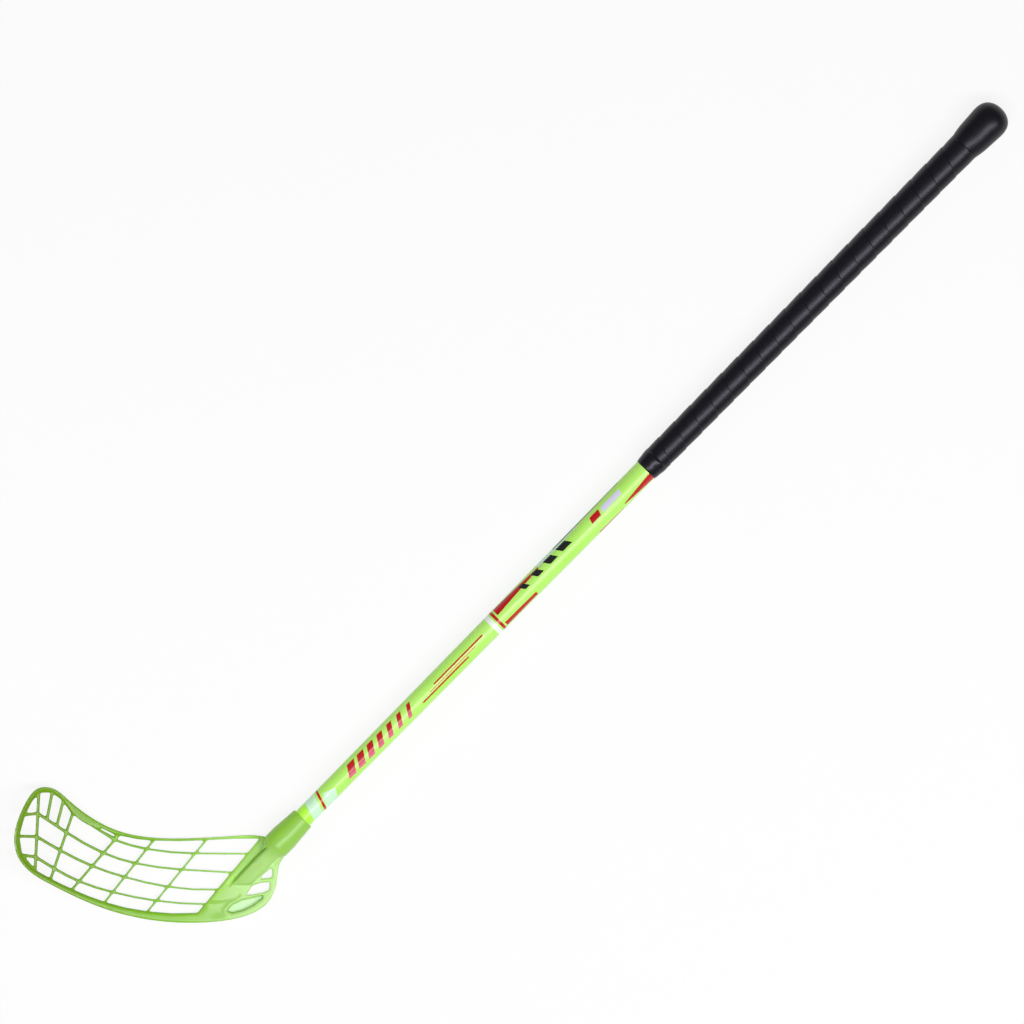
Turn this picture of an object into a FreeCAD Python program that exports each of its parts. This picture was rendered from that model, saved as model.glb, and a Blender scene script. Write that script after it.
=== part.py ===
"""Floorball stick: a tapered composite tube with a moulded mesh blade, a wound grip and a butt cap.

Frame: the shaft's axis is X, with the butt towards +X. The stick lies on its back with the hollow
of the blade up, so +Z is up and +Y is the toe's side. The origin is on the axis at mid grip.
Along the shaft, places are measured from the rim of the blade's socket.
"""
import FreeCAD, Part
import math
import os
import Sketcher

V = FreeCAD.Vector

# Driving dimensions in millimetres, degrees where the name says so, and counts.
SIZES = {
    # Tube
    "shaft_length": 982.0,
    "shaft_tip_diameter": 18.9,
    "shaft_butt_diameter": 26.9,
    "shaft_wall": 1.6,
    # End plug, pressed into the butt end of the tube
    "plug_length": 24.0,
    "plug_flange": 2.0,
    "plug_clearance": 0.05,
    # Butt cap, pulled over the tube and the plug
    "cap_length": 51.0,
    "cap_crown": 8.0,
    "cap_diameter": 36.8,
    "cap_neck_diameter": 31.0,
    "cap_shoulder_diameter": 34.4,
    "cap_shoulder_length": 12.0,
    "cap_flare_length": 27.0,
    "cap_dome_length": 15.0,
    "cap_clearance": 0.05,
    # Grip tape, wound from the butt down, each turn lapped over the one above it
    "grip_length": 432.0,
    "tape_pitch": 21.6,
    "tape_gap": 0.5,
    "tape_thickness": 1.7,
    "tape_lap": 0.5,
    "tape_clearance": 0.2,
    # Vinyl band that closes the lower end of the grip
    "band_length": 16.0,
    "band_foot": 4.0,
    "band_thickness": 0.4,
    "band_foot_thickness": 0.9,
    "band_clearance": 0.05,
    # Blade: plan of the moulding
    "blade_length": 253.7,
    "blade_height": 130.8,
    "lie_angle": 45.45,
    "rim_beyond_heel": 22.8,
    "rim_above": 101.0,
    "sole_width": 10.0,
    "toe_rim_width": 4.6,
    "top_rail_width": 4.8,
    "rail_swell": 3.4,
    "rib_width": 2.8,
    "heel_floor": 1.8,
    "web_step": 1.2,
    # Blade: depth of the moulding and its hook
    "frame_depth": 7.6,
    "rib_depth": 4.4,
    "flat_length": 123.7,
    "belly_length": 70.0,
    "belly_radius": 500.0,
    "hook_radius": 140.0,
    # Socket for the tube and the spine below it
    "socket_depth": 36.0,
    "socket_clearance": 0.05,
    "rim_diameter": 22.8,
    "hosel_diameter": 27.0,
    "hosel_swell": 26.0,
    "hosel_straight": 38.0,
    "hosel_length": 53.0,
    "hosel_end_diameter": 9.2,
    "spine_start": 37.0,
    "spine_length": 90.0,
    "spine_toe_side": 4.6,
    "spine_heel_side": 8.4,
    "spine_crest": 12.8,
    "spine_fall": -8.0,
    "spine_bevel": 1.6,
    "spine_shoulder": 3.6,
    "spine_foot": 37.7,
    "groove_start": 44.0,
    "groove_length": 52.0,
    "groove_width": 1.5,
    "groove_depth": 2.0,
    # Two countersunk screws in the back of the socket
    "screw_first": 9.0,
    "screw_spacing": 14.0,
    "screw_diameter": 3.5,
    "screw_head_diameter": 6.6,
    "screw_length": 8.0,
    "screw_sink": 0.5,
    "screw_clearance": 0.05,
    # How far every cut runs past the surface it opens
    "overrun": 1.0,
}
# The butt cap's domed end in shares of its length and of the cap's radius.
DOME_SHARES = [(0.0, 1.0), (0.5, 0.87), (0.8, 0.63), (1.0, 0.3)]
SCREW_NAMES = ("blade_screw_upper", "blade_screw_lower")

# Outline of the blade in shares of its length from the toe and of its height above the sole.
HEEL_SHARES = [
    (1.012, 0.472), (1.000, 0.430), (0.992, 0.340), (0.982, 0.245), (0.959, 0.158), (0.920, 0.094), (0.836, 0.033),
]
# Where the cross ribs meet the sole, from the spine to the toe.
SOLE_SHARES = [(0.692, 0.002), (0.494, 0.028), (0.330, 0.111), (0.206, 0.214), (0.127, 0.294), (0.069, 0.363)]
# Where the long ribs meet the toe, and the toe's upper corner.
TOE_SHARES = [(0.012, 0.496), (0.000, 0.644), (0.022, 0.806)]
TOE_CORNER_SHARES = [(0.051, 0.918)]
# Where the cross ribs meet the top rail, from the toe to the socket, with two short ribs at the toe.
TOP_TOE_SHARES = [(0.086, 0.989)]
SHORT_RIB_SHARES = [(0.145, 0.988), (0.191, 0.923)]
TOP_SHARES = [(0.235, 0.849), (0.398, 0.671), (0.526, 0.626), (0.725, 0.627), (0.933, 0.638)]
# The rail's crest beside the socket, and the outline's last point, which is inside the socket.
CREST_SHARES = [(0.827, 0.639)]
CLOSING_SHARES = [(1.012, 0.545)]
# How far the sole keeps its full width at each cross rib, above the width of the toe's rim.
SOLE_WIDTH_SHARES = (1.0, 0.65, 0.35, 0.17, 0.07, 0.0)
# How much of its full width the top rail has at each cross rib, and at the two short ribs.
TOP_WIDTH_SHARES = (0.60, 0.62, 0.68, 0.86, 1.0, 0.88)
SHORT_WIDTH_SHARES = (0.80, 0.90)
# Heights of the long ribs on each cross rib, from the sole's edge of the mesh to the rail's.
RIB_SHARES = [
    (0.125, 0.157, 0.170, 0.157, 0.172, 0.179),
    (0.317, 0.349, 0.409, 0.431, 0.441, 0.434),
    (0.540, 0.584, 0.626, 0.664, 0.710, 0.724),
    (0.788, 0.805, 0.852, 0.898, 1.0, 1.0),
]
# How much of their full width the ribs have in each bay, from the spine to the toe.
RIB_WIDTH_SHARES = (0.64, 0.70, 0.80, 0.92, 1.0)
# Where the two short toe ribs leave the long rib below them, along its last bay but one.
SHORT_FOOT_SHARES = (0.68, 0.34)
# Two windows and one thin-floored pocket between the spine and the heel, as the outline.
HEEL_WINDOW_SHARES = [
    [(0.971, 0.408), (0.974, 0.354), (0.968, 0.332), (0.929, 0.324), (0.932, 0.347)],
    [(0.897, 0.274), (0.927, 0.294), (0.963, 0.301), (0.962, 0.246), (0.944, 0.227), (0.908, 0.212), (0.872, 0.203)],
]
HEEL_POCKET_SHARES = [
    (0.798, 0.090), (0.821, 0.138), (0.859, 0.173), (0.904, 0.191), (0.940, 0.207),
    (0.936, 0.178), (0.904, 0.130), (0.865, 0.092), (0.820, 0.070),
]
# The spine's bar runs past its measured length before its foot is cut.
SPINE_RUN_SHARE = 1.2
# The shallow step of the web below the end of the spine.
WEB_STEP_SHARES = [
    (0.747, 0.152), (0.776, 0.155), (0.810, 0.163), (0.836, 0.185), (0.852, 0.211), (0.862, 0.238),
    (0.845, 0.184), (0.810, 0.150), (0.784, 0.096), (0.798, 0.056), (0.747, 0.045),
]

doc = FreeCAD.newDocument("floorball_stick")
sheet = doc.addObject("Spreadsheet::Sheet", "Sizes")
for row, (alias, value) in enumerate(SIZES.items(), start=1):
    sheet.set(f"A{row}", alias)
    sheet.set(f"B{row}", str(value))
    sheet.setAlias(f"B{row}", alias)
doc.recompute()


def size(alias):
    """A driving dimension as the sheet holds it."""
    return float(sheet.get(alias))


# Places along the axis, from the socket's rim towards the butt, as expressions of the sheet.
S = "Sizes."
TUBE_START = f"(-{S}socket_depth)"
TUBE_END = f"({S}shaft_length - {S}socket_depth)"
BUTT_TIP = f"({TUBE_END} + {S}plug_flange + {S}cap_crown)"
CAP_START = f"({BUTT_TIP} - {S}cap_length)"
GRIP_START = f"({CAP_START} - {S}grip_length)"
ORIGIN_AT = f"({GRIP_START} + {S}grip_length / 2)"
TAPER = f"(({S}shaft_butt_diameter - {S}shaft_tip_diameter) / 2 / {TUBE_END})"
# The stick lies level: the back of the blade is as low as the butt cap.
AXIS_HEIGHT = f"({S}cap_diameter / 2)"


def tube_radius(place):
    """Outer radius of the tube's taper, which starts at the rim, as an expression."""
    return f"({S}shaft_tip_diameter / 2 + {TAPER} * {place})"


def worth(expression):
    """The value of an expression of the sheet."""
    return float(sheet.evalExpression(expression))


def plane(body, role):
    """One of a body's own origin planes."""
    return next(f for f in body.Origin.OriginFeatures if f.Role == role)


def bound_sketch(body, name, role, points, tapers=()):
    """A closed outline whose corners, pairs of expressions, are tied to the sheet.

    A side that starts at a corner listed in tapers is a spline, for a long slow taper.
    """
    sketch = body.newObject("Sketcher::SketchObject", name)
    sketch.AttachmentSupport = [(plane(body, role), "")]
    sketch.MapMode = "FlatFace"
    corners = [V(worth(along), worth(across), 0) for along, across in points]
    count = len(corners)
    for i in range(count):
        side = Part.LineSegment(corners[i], corners[(i + 1) % count])
        sketch.addGeometry(side.toBSpline() if i in tapers else side, False)
    for i in range(count):
        sketch.addConstraint(Sketcher.Constraint("Coincident", i, 2, (i + 1) % count, 1))
    for i, (along, across) in enumerate(points):
        for kind, value in (("DistanceX", along), ("DistanceY", across)):
            index = sketch.addConstraint(Sketcher.Constraint(kind, -1, 1, i, 1, worth(value)))
            sketch.setExpression(f"Constraints[{index}]", value)
    return sketch


def turned_body(name, points, tapers=()):
    """A body turned about the shaft's axis from an outline of (place, radius) expressions."""
    body = doc.addObject("PartDesign::Body", name)
    sketch = bound_sketch(body, f"{name}_outline", "XZ_Plane", points, tapers)
    turned = body.newObject("PartDesign::Revolution", f"{name}_turned")
    turned.Profile = sketch
    turned.ReferenceAxis = (sketch, ["H_Axis"])
    turned.Angle = 360
    doc.recompute()
    return body


def along_shaft(obj):
    """Move an object from the rim's frame to the part's own."""
    obj.setExpression("Placement.Base.x", f"-{ORIGIN_AT}")


def make_shaft():
    """The tube: straight in the socket, then a long taper, with pilot holes for the blade screws."""
    rim = "0 * Sizes.shaft_length"
    tip, butt = tube_radius(rim), tube_radius(TUBE_END)
    body = turned_body("shaft_tube", [
        (TUBE_START, f"{tip} - {S}shaft_wall"),
        (rim, f"{tip} - {S}shaft_wall"),
        (TUBE_END, f"{butt} - {S}shaft_wall"),
        (TUBE_END, butt),
        (rim, tip),
        (TUBE_START, tip),
    ], tapers=(1, 3))
    before = body.Shape.Volume
    holes = body.newObject("Sketcher::SketchObject", "shaft_pilot_holes")
    holes.AttachmentSupport = [(plane(body, "XY_Plane"), "")]
    holes.MapMode = "FlatFace"
    radius = f"{S}screw_diameter / 2 + {S}screw_clearance"
    for number in range(len(SCREW_NAMES)):
        place = screw_place(number)
        centre = V(worth(place), 0, 0)
        ring = holes.addGeometry(Part.Circle(centre, V(0, 0, 1), worth(radius)), False)
        index = holes.addConstraint(Sketcher.Constraint("DistanceX", -1, 1, ring, 3, worth(place)))
        holes.setExpression(f"Constraints[{index}]", place)
        holes.addConstraint(Sketcher.Constraint("PointOnObject", ring, 3, -1))
        index = holes.addConstraint(Sketcher.Constraint("Radius", ring, worth(radius)))
        holes.setExpression(f"Constraints[{index}]", radius)
    pocket = body.newObject("PartDesign::Pocket", "shaft_pilot_pocket")
    pocket.Profile = holes
    pocket.Type = "ThroughAll"
    doc.recompute()
    if not body.Shape.Volume < before:
        raise RuntimeError("the pilot holes cut nothing")
    along_shaft(body)
    return body


def make_plug():
    """The plug's stem fits the tube's bore and its flange closes the end."""
    start = f"({TUBE_END} - {S}plug_length)"
    stem = f"({tube_radius(start)} - {S}shaft_wall - {S}plug_clearance)"
    flange_end = f"({TUBE_END} + {S}plug_flange)"
    body = turned_body("end_plug", [
        (start, "0 * Sizes.plug_length"),
        (flange_end, "0 * Sizes.plug_length"),
        (flange_end, tube_radius(TUBE_END)),
        (TUBE_END, tube_radius(TUBE_END)),
        (TUBE_END, stem),
        (start, stem),
    ])
    along_shaft(body)
    return body


def make_cap():
    """The flared cap: a skirt over the tube, a straight band at its widest and a domed end."""
    flange_end = f"({TUBE_END} + {S}plug_flange)"
    flare_end = f"({CAP_START} + {S}cap_flare_length)"
    shoulder = f"({CAP_START} + {S}cap_shoulder_length)"
    widest = f"({S}cap_diameter / 2)"
    bore = f"({tube_radius(TUBE_END)} + {S}cap_clearance)"
    dome = []
    for along, across in DOME_SHARES:
        dome.append((f"({BUTT_TIP} - {1 - along:.3f} * {S}cap_dome_length)", f"({across} * {widest})"))
    body = turned_body("butt_cap", [
        (CAP_START, bore),
        (CAP_START, f"{S}cap_neck_diameter / 2"),
        (shoulder, f"{S}cap_shoulder_diameter / 2"),
        (flare_end, widest),
    ] + dome + [
        (BUTT_TIP, "0 * Sizes.cap_crown"),
        (flange_end, "0 * Sizes.cap_crown"),
        (flange_end, bore),
    ])
    along_shaft(body)
    return body


def make_band():
    """The vinyl band grips the last of the tape and steps down to the bare tube."""
    low = f"({GRIP_START} - {S}band_foot)"
    high = f"({low} + {S}band_length)"
    step = f"({GRIP_START} - {S}tape_gap)"
    bare = f"({tube_radius(GRIP_START)} + {S}band_clearance)"
    taped = f"({tube_radius(high)} + {S}tape_clearance + {S}tape_thickness + {S}band_clearance)"
    body = turned_body("finishing_tape", [
        (low, bare),
        (step, bare),
        (step, taped),
        (high, taped),
        (high, f"{taped} + {S}band_thickness"),
        (f"({step} - {S}band_thickness)", f"{taped} + {S}band_thickness"),
        (low, f"{bare} + {S}band_foot_thickness"),
    ])
    along_shaft(body)
    return body


def screw_place(number):
    """Where a blade screw crosses the socket, from the rim, as an expression."""
    return f"(-({S}screw_first + {number} * {S}screw_spacing))"


def hosel_radius(place):
    """Outer radius of the socket where it swells from the rim, as an expression."""
    return f"(({S}rim_diameter + ({S}hosel_diameter - {S}rim_diameter) * (-{place}) / {S}hosel_swell) / 2)"


def screw_head_height(number):
    """Distance from the axis to the top of a sunk screw head, as an expression."""
    place = screw_place(number)
    return f"(min({hosel_radius(place)}; {S}hosel_diameter / 2) - {S}screw_sink)"


def make_screw(number):
    """A countersunk screw, its head sunk in the back of the socket and its tip inside the tube."""
    head_drop = f"(({S}screw_head_diameter - {S}screw_diameter) / 2)"
    body = turned_body(SCREW_NAMES[number], [
        ("0 * Sizes.screw_length", "0 * Sizes.screw_length"),
        ("0 * Sizes.screw_length", f"{S}screw_head_diameter / 2"),
        (head_drop, f"{S}screw_diameter / 2"),
        (f"{S}screw_length", f"{S}screw_diameter / 2"),
        (f"{S}screw_length", "0 * Sizes.screw_length"),
    ])
    body.Placement = FreeCAD.Placement(V(0, 0, 0), FreeCAD.Rotation(V(0, 1, 0), -90))
    body.setExpression("Placement.Base.x", f"{screw_place(number)} - {ORIGIN_AT}")
    body.setExpression("Placement.Base.z", f"-{screw_head_height(number)}")
    doc.recompute()
    return body


def biarc(start, start_way, end, end_way):
    """Two arcs that leave one point and reach another along the given directions."""
    reach = end - start
    ways = start_way + end_way
    spread = 2 * (1 - start_way.dot(end_way))
    along = reach.dot(ways)
    arm = (math.sqrt(along ** 2 + spread * reach.dot(reach)) - along) / spread
    middle = (start + end + (start_way - end_way) * arm) * 0.5
    arcs = []
    for first, corner, last in ((start, start + start_way * arm, middle), (middle, end - end_way * arm, end)):
        centre = (first + last) * 0.5
        turn = (corner - first).getAngle(last - first)
        rise = corner - centre
        rise.normalize()
        crest = centre + rise * ((last - first).Length / 2 * math.tan(turn / 2))
        arcs.append(Part.Arc(first, crest, last).toShape())
    return arcs


def make_grip():
    """The tape, one unbroken strip wound on the tube and cut square at both ends of the grip."""
    pitch = size("tape_pitch")
    start, length = worth(GRIP_START), size("grip_length")
    width = pitch - size("tape_gap")
    seat, taper = worth(tube_radius(GRIP_START)) + size("tape_clearance"), worth(TAPER)
    turns = math.ceil(length / pitch) + 1
    first = start - width / 2

    def point(turn, aside=0.0, height=0.0):
        place = first + pitch * turn
        radius = seat + taper * (place + aside - start) + height
        angle = 2 * math.pi * turn
        return V(place + aside, radius * math.sin(angle), radius * math.cos(angle))

    def way(turn):
        angle = 2 * math.pi * turn
        radius = seat + taper * (first + pitch * turn - start) + size("tape_thickness") / 2
        growth = taper * pitch / (2 * math.pi)
        along = V(pitch / (2 * math.pi), 0, 0)
        around = V(0, math.cos(angle), -math.sin(angle)) * radius
        outward = V(0, math.sin(angle), math.cos(angle)) * growth
        tangent = along + around + outward
        tangent.normalize()
        return tangent

    half_turns = [step / 2 for step in range(2 * turns + 1)]
    middle = size("tape_thickness") / 2
    edges = []
    for before, after in zip(half_turns, half_turns[1:]):
        edges += biarc(point(before, 0, middle), way(before), point(after, 0, middle), way(after))
    low, high = size("tape_thickness") - size("tape_lap"), size("tape_thickness")
    corners = [
        point(0, -width / 2),
        point(0, width / 2),
        point(0, width / 2, high),
        point(0, -width / 2, low),
    ]
    winding = Part.BRepOffsetAPI.MakePipeShell(Part.Wire(edges))
    winding.setBiNormalMode(V(1, 0, 0))
    winding.add(Part.makePolygon(corners + corners[:1]))
    winding.build()
    winding.makeSolid()
    reach = size("cap_diameter")
    kept = Part.makeCylinder(reach, length - size("tape_gap"), V(start, 0, 0), V(1, 0, 0))
    strip = winding.shape().common(kept)
    gaps = []
    for step in range(8 * (turns - 1)):
        turn = step / 8
        for height in (0.0, low):
            gaps.append((point(turn + 1, -width / 2, height) - point(turn, width / 2, height)).Length)
    print(f"grip tape: {turns - 1} turns, least gap to itself {min(gaps):.3f} mm")
    grip = doc.addObject("Part::Feature", "grip_tape")
    grip.Shape = strip.Solids[0] if len(strip.Solids) == 1 else strip
    along_shaft(grip)
    return grip


def plan(shares):
    """Points of the blade's plan, from shares of its length and height."""
    return [V(size("blade_length") * x, size("blade_height") * y, 0) for x, y in shares]


def smooth(points, closed=False):
    """A smooth curve through points."""
    curve = Part.BSplineCurve()
    curve.interpolate(Points=points, PeriodicFlag=closed)
    return curve


def in_stretches(curve, points):
    """A closed curve as a wire of stretches that meet at its start and at some of its points."""
    marks = [curve.FirstParameter] + [curve.parameter(point) for point in points] + [curve.LastParameter]
    return Part.Wire([curve.toShape(start, end) for start, end in zip(marks, marks[1:])])


def inward(curve, point, depth):
    """A point moved square to the outline, towards the inside of the blade."""
    tangent = curve.tangent(curve.parameter(point))[0]
    return point + V(tangent.y, -tangent.x, 0) * depth


def window(corners, inset):
    """An opening inside a bay, drawn in from the bay's edges with its corners kept sharp."""
    following = corners[1:] + corners[:1]
    turn = sum(here.x * after.y - after.x * here.y for here, after in zip(corners, following))
    drawn = []
    for before, here, after in zip(corners[-1:] + corners, corners, following):
        squares = []
        for edge in (here - before, after - here):
            edge.normalize()
            squares.append(V(-edge.y, edge.x, 0) * math.copysign(1, turn))
        share = 1 / (1 + squares[0].dot(squares[1]))
        drawn.append(here + (squares[0] + squares[1]) * inset * share)
    return Part.Face(Part.makePolygon(drawn + drawn[:1]))


def mesh_points(outline):
    """Crossings of the ribs' middle lines: rows from the sole to the top rail on each cross rib."""
    half_rib = size("rib_width") / 2
    sole, top = plan(SOLE_SHARES), plan(TOP_TOE_SHARES + TOP_SHARES)[::-1]
    count = len(sole)
    columns = []
    for i in range(count):
        narrow, broad = size("toe_rim_width"), size("sole_width")
        sole_width = narrow + (broad - narrow) * SOLE_WIDTH_SHARES[i]
        swell = size("rail_swell") if RIB_SHARES[-1][i] == 1.0 and i < count - 1 else 0.0
        low = inward(outline, sole[i], sole_width - half_rib)
        rail_width = size("top_rail_width") * TOP_WIDTH_SHARES[i] + swell
        high = inward(outline, top[i], rail_width - half_rib)
        rows = [low + (high - low) * share[i] for share in RIB_SHARES]
        columns.append([low] + rows + [high])
    toe_depth = size("toe_rim_width") - half_rib
    toe = [inward(outline, point, toe_depth) for point in plan(TOE_SHARES + TOE_CORNER_SHARES)]
    short = []
    for point, share in zip(plan(SHORT_RIB_SHARES), SHORT_WIDTH_SHARES):
        short.append(inward(outline, point, size("top_rail_width") * share - half_rib))
    return columns, toe, short


def row_curves(columns):
    """The long ribs' middle lines, edge of the sole and edge of the rail, from spine to toe."""
    curves = []
    for row in range(len(columns[0])):
        points = [column[row] for column in columns]
        if row == len(RIB_SHARES):
            points = points[:-2]
        curves.append(smooth(points))
    return curves


def half_way(curve, start, end):
    """The middle of a curve's stretch between two of its points."""
    return curve.value((curve.parameter(start) + curve.parameter(end)) / 2)


def mesh_windows(columns, toe, short):
    """Every opening of the mesh between the spine and the toe."""
    curves = row_curves(columns)
    last = len(columns) - 1
    rail = len(RIB_SHARES) + 1
    inset = size("rib_width") / 2
    openings = []
    for i in range(last):
        here, there = columns[i], columns[i + 1]
        for row in range(rail):
            upper = row + 1
            merged = RIB_SHARES[-1][i + 1] == 1.0
            if merged and (row == rail - 1 or (row == rail - 2 and RIB_SHARES[-1][i] == 1.0)):
                continue
            corners = [here[row], half_way(curves[row], here[row], there[row]), there[row], there[upper]]
            if upper == rail - 1 and merged:
                corners.append((there[upper] + here[upper]) * 0.5)
            else:
                corners.append(half_way(curves[upper], there[upper], here[upper]))
            corners.append(here[upper])
            openings.append(window(corners, inset * RIB_WIDTH_SHARES[i]))
    # The last bay but one, below the rail, is split by the two short ribs.
    under = rail - 2
    feet = [columns[-2][under]]
    for share in SHORT_FOOT_SHARES[::-1]:
        feet.append(columns[-2][under] + (columns[-1][under] - columns[-2][under]) * share)
    feet.append(columns[-1][under])
    heads = [columns[-2][rail]] + short[::-1] + [columns[-1][rail]]
    for k in range(len(feet) - 1):
        openings.append(window([feet[k], feet[k + 1], heads[k + 1], heads[k]], inset))
    # The toe bay, closed by the toe's rim.
    rib = columns[-1]
    openings.append(window([rib[0], toe[0], rib[1]], inset))
    for row in range(1, under):
        openings.append(window([rib[row], toe[row - 1], toe[row], rib[row + 1]], inset))
    openings.append(window([rib[under], toe[under - 1], toe[-1], rib[rail]], inset))
    return openings


def hook_slab(back, depth):
    """A slab that follows the hook, from a height above the back of the blade, as wide as the plan."""
    over = size("overrun")
    belly, hook = size("belly_radius") - back, size("hook_radius") - back
    bend = math.asin(size("belly_length") / size("belly_radius"))
    flat_end = size("blade_length") - size("flat_length")
    belly_centre = V(flat_end, 0, size("belly_radius"))
    shift = size("belly_radius") - size("hook_radius")
    hook_centre = belly_centre + V(-math.sin(bend), 0, -math.cos(bend)) * shift
    remaining = flat_end - size("belly_length")
    swing = math.asin(math.sin(bend) + (remaining + size("frame_depth")) / size("hook_radius"))

    def on(centre, radius, angle):
        return centre + V(-math.sin(angle), 0, -math.cos(angle)) * radius

    heel = size("blade_length") + size("rim_beyond_heel")
    sides = []
    for lift in (0.0, depth):
        inner_belly, inner_hook = belly - lift, hook - lift
        sides.append([
            V(heel, 0, back + lift),
            on(belly_centre, inner_belly, 0.0),
            on(belly_centre, inner_belly, bend / 2),
            on(belly_centre, inner_belly, bend),
            on(hook_centre, inner_hook, (bend + swing) / 2),
            on(hook_centre, inner_hook, swing),
        ])
    edges = []
    for side in sides:
        edges.append(Part.makeLine(side[0], side[1]))
        edges.append(Part.Arc(side[1], side[2], side[3]).toShape())
        edges.append(Part.Arc(side[3], side[4], side[5]).toShape())
    edges.append(Part.makeLine(sides[0][0], sides[1][0]))
    edges.append(Part.makeLine(sides[0][5], sides[1][5]))
    profile = Part.Face(Part.Wire(Part.__sortEdges__(edges)))
    profile.translate(V(0, -over, 0))
    return profile.extrude(V(0, size("blade_height") + 2 * over, 0))


def blade_placement():
    """Where the blade's plan lies: its back is level with the cap and its heel is turned to the shaft."""
    lie = FreeCAD.Rotation(V(0, 0, 1), -size("lie_angle"))
    rim_point = V(size("blade_length") + size("rim_beyond_heel"), size("rim_above"), worth(AXIS_HEIGHT))
    return FreeCAD.Placement(V(-worth(ORIGIN_AT), 0, 0) - lie.multVec(rim_point), lie)


def make_mesh():
    """The blade's rim, sole, heel and ribs, cut from the hooked slab."""
    ring = plan(HEEL_SHARES + SOLE_SHARES + TOE_SHARES + TOE_CORNER_SHARES + TOP_TOE_SHARES
                + SHORT_RIB_SHARES + TOP_SHARES[:-1] + CREST_SHARES + TOP_SHARES[-1:] + CLOSING_SHARES)
    outline = smooth(ring, closed=True)
    columns, toe, short = mesh_points(outline)
    sole_line = smooth([column[0] for column in columns])
    toe_line = smooth([columns[-1][0]] + toe + [columns[-1][-1]])
    top_line = smooth([columns[-1][-1]] + short + [column[-1] for column in columns[::-1]][1:])
    side = Part.makeLine(columns[0][-1], columns[0][0])
    field = Part.Face(Part.Wire([sole_line.toShape(), toe_line.toShape(), top_line.toShape(), side]))
    heel_windows = [window(plan(shares), 0.0) for shares in HEEL_WINDOW_SHARES]
    pocket = window(plan(HEEL_POCKET_SHARES), 0.0)
    pocket.translate(V(0, 0, size("heel_floor")))
    step = window(plan(WEB_STEP_SHARES), 0.0)
    step.translate(V(0, 0, size("frame_depth") - size("web_step")))
    ends = plan(SOLE_SHARES[::2] + TOE_SHARES[::2] + TOP_TOE_SHARES + TOP_SHARES[::2])
    rim_face = Part.Face(in_stretches(outline, ends)).cut([field] + heel_windows)
    mesh_face = field.makeOffset2D(size("rib_width") / 2).cut(mesh_windows(columns, toe, short))
    # The plan is raised from below the back, so that only the hook's own faces bound the rim and the ribs.
    below, tall = V(0, 0, -size("overrun")), V(0, 0, size("blade_length"))
    rim_face.translate(below)
    mesh_face.translate(below)
    rib_back = (size("frame_depth") - size("rib_depth")) / 2
    rim = rim_face.extrude(tall).common(hook_slab(0.0, size("frame_depth")))
    mesh = mesh_face.extrude(tall).common(hook_slab(rib_back, size("rib_depth")))
    feature = doc.addObject("Part::Feature", "blade_mesh")
    feature.Shape = rim.fuse(mesh).cut([pocket.extrude(tall), step.extrude(tall)])
    feature.Placement = blade_placement()
    return feature


def make_hosel():
    """The socket's outer form: it swells from the rim, runs straight and draws in to the spine."""
    body = turned_body("blade_hosel", [
        (f"(-{S}hosel_length)", "0 * Sizes.hosel_length"),
        ("0 * Sizes.hosel_length", "0 * Sizes.hosel_length"),
        ("0 * Sizes.hosel_length", f"{S}rim_diameter / 2"),
        (f"(-{S}hosel_swell)", f"{S}hosel_diameter / 2"),
        (f"(-{S}hosel_straight)", f"{S}hosel_diameter / 2"),
        (f"(-{S}hosel_length)", f"{S}hosel_end_diameter / 2"),
    ])
    along_shaft(body)
    return body


def make_spine():
    """The spine: a bar with bevelled edges that slopes from the socket's crest into the web.

    Its foot is cut parallel to the sole.
    """
    toe, heel = size("spine_toe_side"), -size("spine_heel_side")
    crest, bevel, shoulder = size("spine_crest"), size("spine_bevel"), size("spine_shoulder")
    start = -worth(ORIGIN_AT) - size("spine_start")
    base = -worth(AXIS_HEIGHT)
    section = [
        V(start, toe, base),
        V(start, toe, crest - bevel),
        V(start, toe - bevel, crest),
        V(start, heel + shoulder, crest),
        V(start, heel, crest - shoulder),
        V(start, heel, base),
    ]
    slope = V(size("spine_start") - size("spine_length"), 0, size("spine_fall") - crest)
    bar = Part.Face(Part.makePolygon(section + section[:1])).extrude(slope * SPINE_RUN_SHARE)
    across, above = size("blade_length") + size("rim_beyond_heel"), size("rim_above")
    kept = Part.makeBox(across, above, size("hosel_diameter") + size("cap_diameter"), V(0, size("spine_foot"), 0))
    kept.Placement = blade_placement().multiply(kept.Placement)
    feature = doc.addObject("Part::Feature", "blade_spine")
    feature.Shape = bar.common(kept)
    return feature


def screw_tools(number):
    """A clearance hole and its countersink through the back of the socket."""
    hole = doc.addObject("Part::Cylinder", f"blade_screw_hole_{number}")
    hole.setExpression("Radius", f"{S}screw_diameter / 2 + {S}screw_clearance")
    hole.setExpression("Height", f"{AXIS_HEIGHT}")
    sink = doc.addObject("Part::Cone", f"blade_countersink_{number}")
    head = f"({S}screw_head_diameter / 2 + {S}screw_clearance)"
    drop = f"(({S}screw_head_diameter - {S}screw_diameter) / 2)"
    sink.setExpression("Radius1", head)
    sink.setExpression("Radius2", f"{S}screw_diameter / 2 + {S}screw_clearance")
    sink.setExpression("Height", drop)
    access = doc.addObject("Part::Cylinder", f"blade_screw_access_{number}")
    access.setExpression("Radius", head)
    access.setExpression("Height", f"{S}screw_sink + {S}overrun")
    floor = f"-{screw_head_height(number)} - {S}screw_clearance"
    for tool in (hole, sink, access):
        tool.setExpression("Placement.Base.x", f"{screw_place(number)} - {ORIGIN_AT}")
    hole.setExpression("Placement.Base.z", f"-{AXIS_HEIGHT}")
    sink.setExpression("Placement.Base.z", floor)
    access.setExpression("Placement.Base.z", f"{floor} - {S}screw_sink - {S}overrun")
    return [hole, sink, access]


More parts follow.
